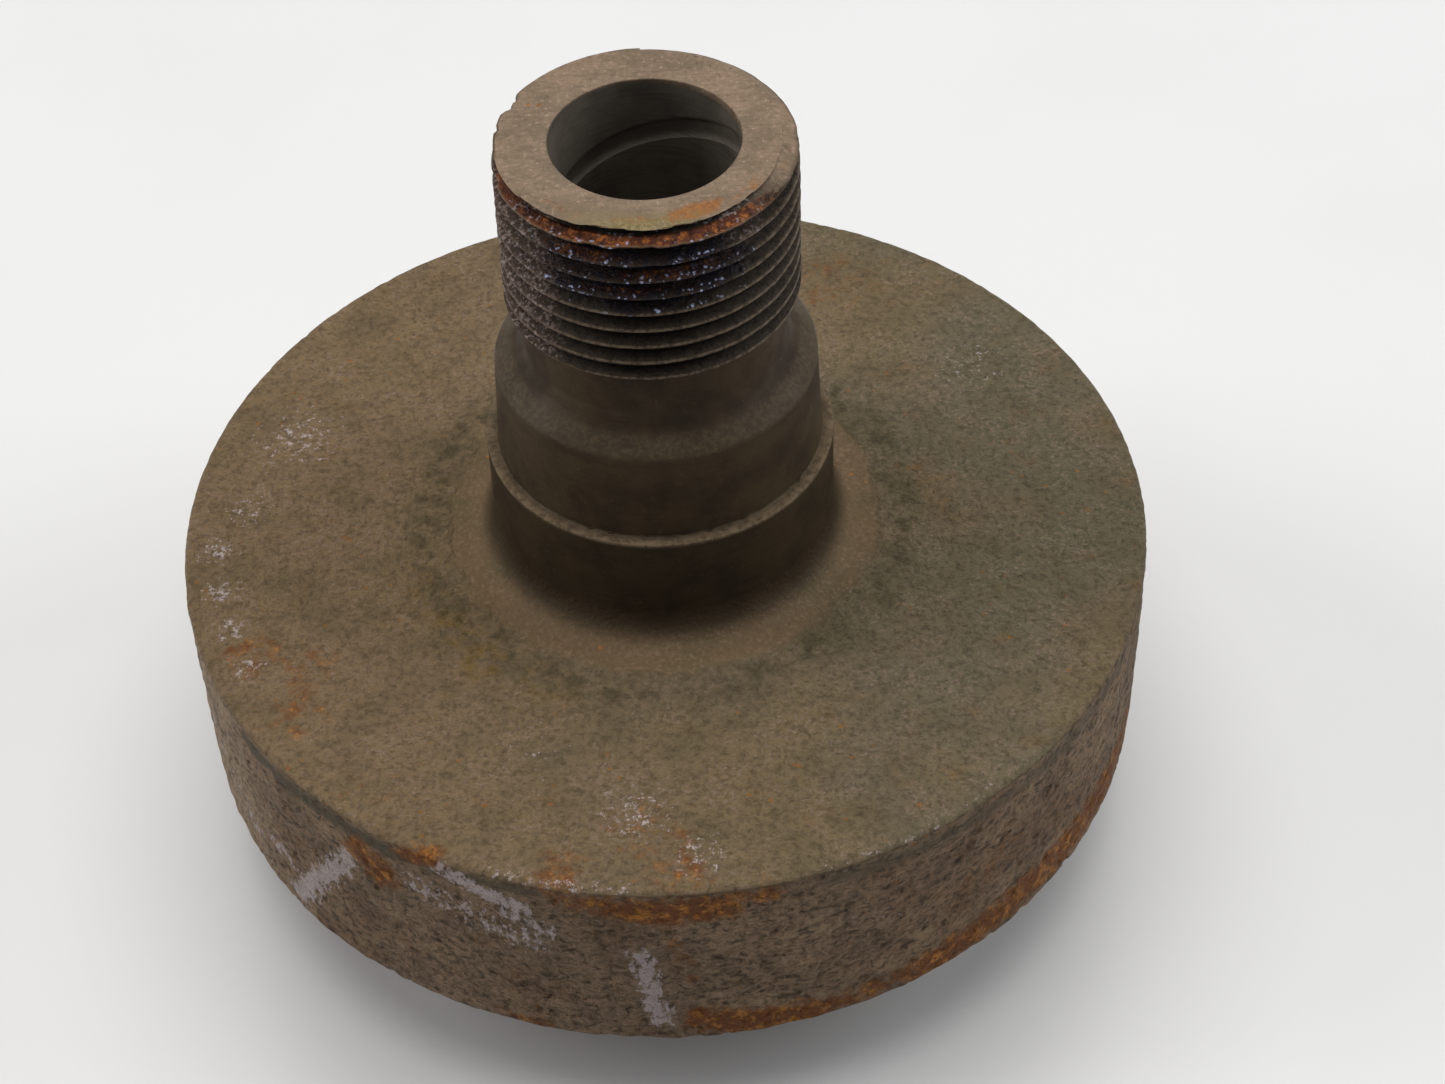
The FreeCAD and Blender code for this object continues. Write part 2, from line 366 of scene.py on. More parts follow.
# Orange rust.
RUST_STREAKS = [
    ((-38, 5.0), (-35.5, 7.5), 4.6, 1.0), ((-32, 1.6), (-28, 1.0), 2.6, 0.8),
    ((-14, 1.5), (-6, 3.0), 4.0, 0.75), ((-6, 3.0), (4, 3.2), 4.6, 1.0),
    ((4, 2.6), (9, 1.6), 3.0, 0.7), ((-2, 7.0), (0, 15.0), 3.0, 0.45),
    ((1, 23.0), (14, 25.0), 4.4, 1.0), ((14, 25.0), (30, 24.0), 3.6, 0.7),
    ((28, 24.5), (44, 22.5), 5.0, 1.0), ((44, 22.5), (62, 22.5), 6.0, 0.9),
    ((62, 22.5), (95, 21.0), 6.5, 0.75), ((30, 14.0), (42, 12.0), 6.0, 0.35),
    ((-66, 4.0), (-52, 6.0), 4.0, 0.35), ((-22, 25.0), (-17, 25.5), 2.5, 0.6),
    ((110, 23.0), (160, 21.0), 7.0, 0.8), ((-165, 14.0), (-130, 21.0), 8.0, 0.6),
    ((165, 3.0), (-165, 6.0), 5.0, 0.6),
]
RUST_SPOTS = [
    (-68, 51.5, 8.0, 0.5), (-56, 51.0, 8.0, 0.5), (-62, 46.5, 7.0, 0.45), (-40, 53.0, 8.0, 0.3),
    (-4, 48.0, 10.0, 0.42), (0, 54.0, 8.0, 0.5), (-14, 55.0, 8.0, 0.5), (150, 46.0, 12.0, 0.4),
    (100, 30.0, 5.0, 0.3),
]

# Pale scuffs and scrapes, and painted highlights: the thin streaks along the top edge and the spots
# near the left edge of the top are painted glints.
SCUFF_AND_HIGHLIGHT_STREAKS = [
    ((-40.7, 8.4), (-46.1, 16.3), 3.4, 1.0), ((-46.1, 16.3), (-51.3, 23.8), 3.6, 1.0),
    ((-47.0, 20.0), (-56.0, 18.0), 2.6, 0.7), ((-27, 1.8), (-18, 4.7), 2.6, 0.95),
    ((-20, 6.0), (-15, 8.0), 2.4, 0.75), ((-31, 6.5), (-17, 10.0), 5.5, 0.6),
    ((-5.3, 11.3), (-3.6, 22.5), 3.2, 0.95), ((17, 9.0), (23, 12.0), 4.0, 0.35),
    ((-175, 10.0), (-160, 15.0), 7.0, 0.7), ((-72, 12.0), (-60, 21.0), 5.0, 0.5),
    ((-22, 0.2), (-6, 0.2), 0.8, 0.48), ((14, 0.2), (40, 0.2), 0.8, 0.35),
]
SCUFF_AND_GLINT_SPOTS = [
    (-87, 52.8, 5.0, 0.6), (-80, 52.8, 4.5, 0.62), (-73, 52.8, 4.5, 0.6), (-66, 52.8, 4.5, 0.55),
    (-95, 50.0, 8.0, 0.45), (-110, 47.0, 12.0, 0.48), (-6, 46.0, 9.0, 0.5), (2, 52.0, 8.0, 0.48),
    (-24, 40.0, 14.0, 0.3), (120, 45.0, 14.0, 0.35),
]

# Dark smooth stripe under the top edge.
BAND_STREAKS = [
    ((-58, 2.4), (-34, 2.2), 2.4, 0.8), ((-34, 2.2), (-16, 1.5), 1.6, 0.6),
    ((16, 2.2), (66, 2.8), 3.0, 0.5),
]


def dark_band(points):
    return strongest(points, BAND_STREAKS)


def rust(points):
    return strongest(points, RUST_STREAKS, RUST_SPOTS)


def scuffs_and_glints(points):
    return strongest(points, SCUFF_AND_HIGHLIGHT_STREAKS, SCUFF_AND_GLINT_SPOTS)


def on_side(points):
    """1 on the rim, 0 on the disc's top."""
    radius, _, height = polar(points)
    return (1 - smooth_step(height, DISC_TOP - 0.9, DISC_TOP - 0.3)) * (radius > PAD_RAD)


def fillet_shade(points):
    """Painted shade in the hollow round the collar's foot: 1 at the foot, fading to 0 out on the
    smooth ring.
    """
    return 1 - smooth_step(polar(points)[0], COLLAR_RAD + 0.1, COLLAR_RAD + 2.4)


def yellow_belt(points):
    """Ochre stains among the dark pits, left of the front."""
    radius, angle, _ = polar(points)
    return (bump_at(turn_between(angle, -48), 0, 42) * bump_at(radius, PAD_RAD + 5.5, 5.0)
            * (points[:, 2] > DISC_TOP - 1))


def smooth_ring(points):
    """1 on the pad and its ring, with a slightly ragged edge."""
    return 1 - smooth_step(polar(points)[0] + 0.9 * fractal(points, 2.2, 2, 33),
                           PAD_RAD - 0.8, PAD_RAD + 1.0)


def pitted_belt(points):
    """The darker pitted belt just outside the smooth ring."""
    return bump_at(polar(points)[0], PAD_RAD + 3.0, 4.2) * (points[:, 2] > DISC_TOP - 1)


DISC_MASKS = {"rust": rust, "scuff": scuffs_and_glints, "side": on_side, "band": dark_band,
              "ring": smooth_ring, "belt": pitted_belt, "foot": fillet_shade, "ochre": yellow_belt}


def make_flange():
    rows = round_rows(flange_outline(), DISC_COLUMNS)
    return turned("cast_disc", rows, cast_relief, DISC_MASKS, DISC_TOP)


def make_pad():
    arc = quarter((COLLAR_RAD + FILLET, DISC_TOP + FILLET), FILLET, 180, 270, 16)
    outline = [(COLLAR_RAD - PAD_LIP, PAD_FOOT + ROOM), (PAD_RAD, PAD_FOOT + ROOM)]
    outline += walk([(PAD_RAD, DISC_TOP), arc[-1]], 0.3)[:-1]
    outline += arc[::-1] + [(COLLAR_RAD - PAD_LIP, DISC_TOP + FILLET)]

    def relief(points):
        outside = smooth_step(polar(points)[0], COLLAR_RAD + 0.2, COLLAR_RAD + 1.5)
        return outside * (points[:, 2] > DISC_TOP - 0.1) * (top_skin(points) - 0.03)

    return turned("base_pad", round_rows(outline, DISC_COLUMNS), relief, DISC_MASKS, DISC_TOP)


def make_collar():
    edge = 0.14                 # round on the ledge's outer edge
    corner = 0.3                # rust that fills the corner between the ledge and the seat
    inside = STEM_RAD - 0.05
    outline = walk([(inside, DISC_TOP), (COLLAR_RAD - PAD_LIP, DISC_TOP),
                    (COLLAR_RAD - PAD_LIP, DISC_TOP + FILLET),
                    (COLLAR_RAD, DISC_TOP + FILLET), (COLLAR_RAD, COLLAR_TOP - edge)], 0.4)[:-1]
    outline += quarter((COLLAR_RAD - edge, COLLAR_TOP - edge), edge, 0, 90, 3)
    outline += walk([outline[-1], (STEM_RAD + corner, COLLAR_TOP)], 0.25)[1:-1]
    outline += quarter((STEM_RAD + corner, COLLAR_TOP + corner), corner, -90, -180, 5)
    outline.append((inside, COLLAR_TOP + corner))

    def relief(points):
        rim = smooth_step(points[:, 2], COLLAR_TOP - 0.6, COLLAR_TOP - 0.05)
        nicks = pits(points, 1.3, 0.4, seed=43) * rim
        skin = 0.010 * fractal(points, 1.6, 3, seed=41) - 0.01 - 0.16 * nicks
        skin += 0.05 * rim * (fractal(points, 0.9, 2, seed=45) - 0.5)
        return skin * smooth_step(points[:, 2], DISC_TOP + FILLET, DISC_TOP + FILLET + 0.5)

    # Painted highlight on the ledge, brightest at its outer edge and fading to painted shade
    # towards the seat; partly worn bright.
    def ledge(points):
        out = smooth_step(polar(points)[0], STEM_RAD + 0.05, COLLAR_RAD - 0.35)
        top = smooth_step(points[:, 2], COLLAR_TOP - 0.40, COLLAR_TOP - 0.12)
        return top * (0.40 + 0.60 * out)

    return turned("collar_ring", round_rows(outline, STEM_COLUMNS), relief, {"ledge": ledge})


# One turn of the thread, as shares of the pitch above a crest: close rows at crest and root.
THREAD_ROWS = (0.035, 0.13, 0.22, 0.31, 0.40, 0.455, 0.545, 0.60, 0.69, 0.78, 0.87, 0.965)
FIRST_CREST = 1.65              # below the top face, at angle 0
CREST_FLAT = 0.035              # half widths, as shares of the pitch
ROOT_FLAT = 0.045


def crest_count(angle, height):
    """Pitches above the crest that passes FIRST_CREST below the top face at angle 0."""
    return (height - STEM_TOP + FIRST_CREST) / PITCH - angle / 360


def thread_form(angle, height):
    """1 on the crest of the thread, 0 in its root."""
    away = np.abs((crest_count(angle, height) + 0.5) % 1.0 - 0.5)
    return 1 - np.clip((away - CREST_FLAT) / (0.5 - CREST_FLAT - ROOT_FLAT), 0, 1)


def worn_patches(angle, height):
    """Where the thread is battered: the left side, and the first turns at the front."""
    left = bump_at(turn_between(angle, -72), 0, 34)
    high = smooth_step(height, STEM_TOP - 6, STEM_TOP - 1)
    return np.maximum(left, high * bump_at(turn_between(angle, -8), 0, 70))


# Chips in the edge of the top face: angle, half angle, depth.
CHIPS = ((-117, 9, 0.9), (91, 7, 0.7), (-101, 5, 0.5), (72, 4, 0.4))


def thread_rows(columns):
    """Radius and height over the thread, on a grid that leans with the helix."""
    turns = int((STEM_TOP - THREAD_FOOT) / PITCH) + 3
    angle = np.linspace(-180, 180, columns + 1)[None, :]
    shares = (np.arange(turns)[:, None] + np.array(THREAD_ROWS)[None, :]).reshape(-1, 1)
    start = STEM_TOP - FIRST_CREST - PITCH / 2 - PITCH * (turns - 1)
    height = start + PITCH * (shares + (angle + 180) / 360)
    height = np.clip(height, THREAD_FOOT, STEM_TOP)
    form = thread_form(angle, height)
    crest = CREST_TOP_RAD + (STEM_TOP - height) * TAPER
    points = surface(crest, height, np.broadcast_to(angle, height.shape)).reshape(-1, 3)
    shape = height.shape
    rough = fractal(points, 1.1, 3, seed=55).reshape(shape)
    dents = smooth_step(fractal(points, 3.2, 3, seed=51), 0.1, 0.6).reshape(shape)
    battered = worn_patches(angle, height)
    radius = crest - THREAD_DEEP * (1 - form)
    radius -= form * (0.05 + 0.05 * rough + (0.10 + 0.30 * battered) * dents)
    radius += (0.03 + 0.10 * battered) * rough * (1 - 0.5 * form)
    lip = smooth_step(crest_count(angle, height), 0.5, 0.62)
    lip = lip * bump_at(turn_between(angle, -15), 0, 90)
    radius -= lip * (0.12 + 0.34 * np.abs(rough) + 0.2 * dents)
    for chip_angle, half_angle, depth in CHIPS:
        chip = bump_at(turn_between(angle, chip_angle), 0, half_angle)
        radius -= chip * depth * (1 + rough) * smooth_step(height, STEM_TOP - 1.5, STEM_TOP - 0.2)
    broken_edge = smooth_step(height, STEM_TOP - 0.5, STEM_TOP)
    radius = np.minimum(radius, CREST_TOP_RAD + 0.1 - 0.42 * broken_edge + 0.06 * rough)
    run_out = smooth_step(height, THREAD_FOOT, THREAD_FOOT + 0.7)
    radius = NECK_RAD + (radius - NECK_RAD) * run_out
    return np.stack([np.maximum(radius, NECK_RAD - 0.4), height], axis=-1)


def make_stem():
    columns = STEM_COLUMNS
    thread = thread_rows(columns)
    slope_rad, slope_top = NECK_RAD + 0.7, SHOULDER_FOOT + 2.2
    face_rings = 15
    below = walk([(BORE_RAD, STEM_FOOT), (STEM_RAD, STEM_FOOT), (STEM_RAD, DISC_TOP)], 2.5)[:-1]
    below += walk([(STEM_RAD, DISC_TOP), (STEM_RAD, COLLAR_TOP)], 1.0)[:-1]
    below += walk([(STEM_RAD, COLLAR_TOP), (SEAT_RAD + ROOM, SHOULDER_FOOT - 0.12)], 0.4)
    below += walk([(SEAT_RAD - 0.12, SHOULDER_FOOT + 0.06), (slope_rad, slope_top)], 0.3)
    below += [(NECK_RAD + 0.35, slope_top + 0.45), (NECK_RAD + 0.1, slope_top + 0.95)]
    below += walk([(NECK_RAD, slope_top + 1.5), (NECK_RAD, THREAD_FOOT - ROOM)], 0.4)
    shares = np.linspace(0, 1, face_rings + 1)[1:, None]
    edge = thread[-1, :, 0][None, :]
    level = np.full((face_rings, columns + 1), STEM_TOP)
    top = np.stack([edge + (BUSH_RAD - edge) * shares, level], axis=-1)
    inside = walk([(BUSH_RAD, STEM_TOP - 0.5), (BUSH_RAD, BUSH_FOOT), (BORE_RAD, BUSH_FOOT)], 3.0)
    rows = np.concatenate([round_rows(below, columns), thread, top, round_rows(inside, columns)])
    return turned("threaded_stem_turned", rows, stem_relief, STEM_MASKS, STEM_TOP)


CREST_START = 91                # the first crest leaves the top face this far left of the front


def first_flank(points):
    """How far a point lies above the thread's first crest, and its angle along that crest."""
    _, angle, height = polar(points)
    climb = (angle + CREST_START) % 360 - CREST_START
    return height - (STEM_TOP - FIRST_CREST + PITCH * climb / 360), climb


def on_face(points):
    """1 on the stem's flat top face, and on the open flank beside it at the right and back."""
    flat = smooth_step(points[:, 2], STEM_TOP - 0.06, STEM_TOP - 0.01)
    above, climb = first_flank(points)
    open_flank = smooth_step(above, -0.05, 0.25) * smooth_step(climb, 35, 75)
    return np.maximum(flat, open_flank)


def face_relief(points):
    """The small dents, swellings and grain of the stem's top face."""
    radius, angle, _ = polar(points)
    grain = 0.014 * fractal(points, 0.9, 3, seed=61) + 0.035 * fractal(points, 4.5, 2, seed=63)
    crust = bump_at(turn_between(angle, -2), 0, 34) * bump_at(radius, 14.9, 2.6)
    flakes = 0.16 * crust * np.abs(fractal(points, 1.5, 3, seed=67))
    flat = points[:, 2] > STEM_TOP - SAME
    return flat * (grain - 0.06 - flakes)


def stem_relief(points):
    turned_skin = 1 - smooth_step(points[:, 2], THREAD_FOOT - 0.4, THREAD_FOOT)
    return face_relief(points) + turned_skin * (0.012 * fractal(points, 1.3, 3, seed=65) - 0.012)


def on_thread(points):
    return smooth_step(points[:, 2], THREAD_FOOT - 0.3, THREAD_FOOT) * (1 - on_face(points))


def crest_line(points):
    _, angle, height = polar(points)
    return on_thread(points) * thread_form(angle, height)


def wet_patch(points):
    """The dark oily patch on the front of the first turns."""
    _, angle, height = polar(points)
    depth = STEM_TOP - height
    main = bump_at(turn_between(angle, -5), 0, 66) * bump_at(depth, 5.9, 6.8)
    return on_thread(points) * np.clip(1.9 * main, 0, 1)


def speckled(points):
    """Pale gritty speckle, mostly down the left side of the thread, where it also carries painted
    glints.
    """
    _, angle, height = polar(points)
    left = bump_at(turn_between(angle, -66), 0, 40)
    high = smooth_step(height, STEM_TOP - 8, STEM_TOP - 1)
    right = 0.6 * high * bump_at(turn_between(angle, 38), 0, 18)
    return on_thread(points) * np.maximum(left, right)


# Rust on the flanks further down: strength, angle, half angle, mm below the first crest.
FLANK_RUST = ((0.5, -25, 40, 1.7), (0.5, 8, 44, 3.9), (0.4, -10, 50, 6.0))


def rusty_lip(points):
    """Orange rust under the torn edge of the top face, and in patches on the next flanks."""
    angle = polar(points)[1]
    above, climb = first_flank(points)
    amount = (smooth_step(above, -0.15, 0.1) * smooth_step(climb, -95, -70)
              * (1 - smooth_step(climb, 40, 80)))
    for strength, at, half_angle, below in FLANK_RUST:
        patch = bump_at(turn_between(angle, at), 0, half_angle) * bump_at(above, -below, 0.9)
        amount = np.maximum(amount, strength * patch)
    return on_thread(points) * amount


# Orange stains on the top face: angle, radius, half angle, reach, strength.
STAINS = ((20, 13.4, 30, 2.2, 1.0), (-6, 13.9, 24, 1.8, 0.7), (50, 13.8, 24, 1.8, 0.6),
          (-121, 12.9, 4, 0.6, 1.0), (-119, 14.0, 3, 0.5, 0.9), (-40, 14.2, 30, 1.6, 0.6),
          (72, 15.4, 24, 1.4, 0.5), (160, 14, 40, 1.5, 0.2))


def face_stain(points):
    radius, angle, _ = polar(points)
    return on_face(points) * np.max([
        strength * bump_at(turn_between(angle, at), 0, half_angle) * bump_at(radius, rad, reach)
        for at, rad, half_angle, reach, strength in STAINS], axis=0)


def slope_light(points):
    """A lighter, grainy colour on the sloping shoulder and its edge."""
    return (bump_at(points[:, 2], SHOULDER_FOOT + 0.9, 2.0)
            * smooth_step(polar(points)[0], NECK_RAD + 0.4, NECK_RAD + 1.6))


def crusty(points):
    """The greenish crust on the front of the top face."""
    radius, angle, _ = polar(points)
    front = bump_at(turn_between(angle, -4), 0, 42) * bump_at(radius, 14.4, 2.8)
    return front * (points[:, 2] > STEM_TOP - 0.1)


STEM_MASKS = {"crust": crusty, "face": on_face, "thread": on_thread, "crest": crest_line,
              "wet": wet_patch, "speckle": speckled, "lip": rusty_lip, "stain": face_stain,
              "slope": slope_light}


def make_bush():
    columns = STEM_COLUMNS
    groove_pitch, groove_wide, groove_deep = 18.0, 2.4, 0.45
    rows_per_turn = 60
    lip_below_top = 6.2         # the groove's upper lip on the far wall
    mouth_edge = 0.15
    turns = int((BUSH_TOP - BUSH_FOOT) / groove_pitch) + 3
    angle = np.linspace(-180, 180, columns + 1)[None, :]
    row = np.arange(turns * rows_per_turn)[::-1, None]
    height = BUSH_FOOT - groove_pitch + groove_pitch * (row / rows_per_turn - (angle - 180) / 360)
    climb = (BUSH_TOP - lip_below_top - height) / groove_pitch - (angle - 180) / 360
    below_lip = (climb % 1.0) * groove_pitch
    far_side = smooth_step(below_lip, groove_wide - 0.3, groove_wide)
    cut = smooth_step(below_lip, 0, 0.3) * (1 - far_side)
    end = smooth_step(height, BUSH_FOOT + 8, BUSH_FOOT + 10)
    height = np.clip(height, BUSH_FOOT + 0.001, BUSH_TOP - mouth_edge)
    radius = BORE_RAD + groove_deep * cut * end
    bore = np.stack([radius, height], axis=-1)
    mouth = quarter((BORE_RAD + mouth_edge, BUSH_TOP - mouth_edge), mouth_edge, 180, 90, 3)
    top = mouth[1:] + walk([mouth[-1], (BUSH_RAD, BUSH_TOP)], 0.3)[1:]
    outside = walk([(BUSH_RAD, BUSH_TOP - 0.5), (BUSH_RAD, BUSH_FOOT), (BORE_RAD, BUSH_FOOT)], 3.0)
    rows = np.concatenate([round_rows(outside, columns), bore[::-1], round_rows(top, columns)])
    return turned("grooved_bush", rows, face_relief, STEM_MASKS, STEM_TOP)


def make_spigot():
    round_edge = 1.5
    mouth_bevel = 0.6
    edge = quarter((SPIGOT_RAD - round_edge, round_edge), round_edge, -90, 0, 6)
    outline = walk([(PIPE_BORE_RAD, SPIGOT_TOP), (PIPE_BORE_RAD, mouth_bevel),
                    (PIPE_BORE_RAD + mouth_bevel, 0), edge[0]], 0.8)[:-1]
    outline += edge[:-1] + walk([edge[-1], (SPIGOT_RAD, SPIGOT_TOP)], 0.8)

    def skin(points):
        return 0.05 * fractal(points, 2.5, 3, seed=71) - 0.05

    return turned("pipe_spigot", round_rows(outline, SPIGOT_COLUMNS), skin)


def make_fillet_weld(name, inner, outer, top, foot, seed):
    """A rippled bead between a wall of radius inner and a roof at height top."""
    hollow = 0.85               # 1 is a quarter of a circle, less is fuller
    bead_long = 2.6
    reach, drop = outer - inner, top - foot
    face = [(inner + reach * math.cos(math.radians(a)) ** hollow,
             top - drop * math.sin(math.radians(a)) ** hollow) for a in range(0, 91, 9)]
    outline = [(inner, top)] + face

    def ripple(points):
        arc = np.radians(polar(points)[1]) * inner
        beads = np.abs(np.sin(math.pi * arc / bead_long + fractal(points, 5, 2, seed)))
        return 0.18 * beads + 0.08 * fractal(points, 1.5, 2, seed + 3) - 0.35

    return turned(name, round_rows(outline[::-1], WELD_COLUMNS), ripple)


# ---------------------------------------------------------------- materials


class Graph:
    """A material's node tree, with one short call for each kind of node."""

    def __init__(self, name):
        self.material = bpy.data.materials.new(name)
        self.material.use_nodes = True
        self.tree = self.material.node_tree
        self.tree.nodes.clear()
        self.output = self.node("ShaderNodeOutputMaterial")
        self.shader = self.node("ShaderNodeBsdfPrincipled")
        self.tree.links.new(self.shader.outputs[0], self.output.inputs["Surface"])
        self.place = self.node("ShaderNodeTexCoord").outputs["Object"]

    def node(self, kind, **settings):
        made = self.tree.nodes.new(kind)
        for key, value in settings.items():
            setattr(made, key, value)
        return made

    def feed(self, socket, value):
        if isinstance(value, bpy.types.NodeSocket):
            self.tree.links.new(value, socket)
        elif isinstance(value, tuple) and len(value) == 3 and socket.type == "RGBA":
            socket.default_value = (*value, 1)
        else:
            socket.default_value = value

    def noise(self, size, detail=3, rough=0.55, stretch=(1, 1, 1), shift=0.0, warp=0.0):
        """Noise from 0 to 1 with features about size mm across."""
        mapping = self.node("ShaderNodeMapping")
        self.feed(mapping.inputs["Vector"], self.place)
        mapping.inputs["Location"].default_value = (shift, 1.7 * shift, 0.6 * shift)
        mapping.inputs["Scale"].default_value = stretch
        made = self.node("ShaderNodeTexNoise")
        self.feed(made.inputs["Vector"], mapping.outputs[0])
        made.inputs["Scale"].default_value = 1000 / size
        made.inputs["Detail"].default_value = detail
        made.inputs["Roughness"].default_value = rough
        made.inputs["Distortion"].default_value = warp
        return made.outputs["Fac"]

    def cells(self, size, shift=0.0):
        """Distance to the nearest of scattered points about size mm apart, as a share of size."""
        mapping = self.node("ShaderNodeMapping")
        self.feed(mapping.inputs["Vector"], self.place)
        mapping.inputs["Location"].default_value = (shift, shift, 2 * shift)
        made = self.node("ShaderNodeTexVoronoi")
        self.feed(made.inputs["Vector"], mapping.outputs[0])
        made.inputs["Scale"].default_value = 1000 / size
        return made.outputs["Distance"]

    def math(self, operation, first, second):
        made = self.node("ShaderNodeMath", operation=operation)
        self.feed(made.inputs[0], first)
        self.feed(made.inputs[1], second)
        return made.outputs[0]

    def times(self, first, second):
        return self.math("MULTIPLY", first, second)

    def ragged(self, mask, breakup, spread, low, high, start, full):
        """The mask from low to high, its edge moved to and fro by spread times a noise.

        It fades in where the mask itself goes from start to full, so that it stays in its place.
        """
        edge = self.math("ADD", mask, self.times(self.math("SUBTRACT", breakup, 0.5), spread))
        return self.times(self.ramp(edge, low, high), self.ramp(mask, start, full))

    def ramp(self, value, low, high, start=0.0, end=1.0):
        """value from low to high, smoothed, as a number from start to end."""
        made = self.node("ShaderNodeMapRange", interpolation_type="SMOOTHSTEP")
        self.feed(made.inputs["Value"], value)
        for label, number in zip(("From Min", "From Max", "To Min", "To Max"),
                                 (low, high, start, end)):
            self.feed(made.inputs[label], number)
        return made.outputs["Result"]

    def mix(self, share, first, second):
        made = self.node("ShaderNodeMix", data_type="RGBA")
        self.feed(made.inputs["Factor"], share)
        self.feed(made.inputs["A"], first)
        self.feed(made.inputs["B"], second)
        return made.outputs["Result"]

    def mask(self, name):
        return self.node("ShaderNodeAttribute", attribute_name=name).outputs["Fac"]

    def position(self):
        """x, y, z of the point, in metres."""
        made = self.node("ShaderNodeSeparateXYZ")
        self.feed(made.inputs[0], self.place)
        return made.outputs

    def bump(self, height, depth):
        """Relief of the given depth in millimetres where height goes from 0 to 1."""
        made = self.node("ShaderNodeBump")
        self.feed(made.inputs["Height"], height)
        self.feed(made.inputs["Strength"], 1.0)
        self.feed(made.inputs["Distance"], depth * MM)
        if self.shader.inputs["Normal"].links:
            self.feed(made.inputs["Normal"], self.shader.inputs["Normal"].links[0].from_socket)
        self.feed(self.shader.inputs["Normal"], made.outputs[0])

    def finish(self, color, rough, specular=0.5):
        self.feed(self.shader.inputs["Base Color"], color)
        self.feed(self.shader.inputs["Roughness"], rough)
        self.feed(self.shader.inputs["Specular IOR Level"], specular)
        return self.material


def srgb(red, green, blue):
    """A colour given as 0 to 255 values, as the linear numbers that shaders use."""
    return tuple((c / 255 / 12.92) if c <= 10 else ((c / 255 + 0.055) / 1.055) ** 2.4
                 for c in (red, green, blue))


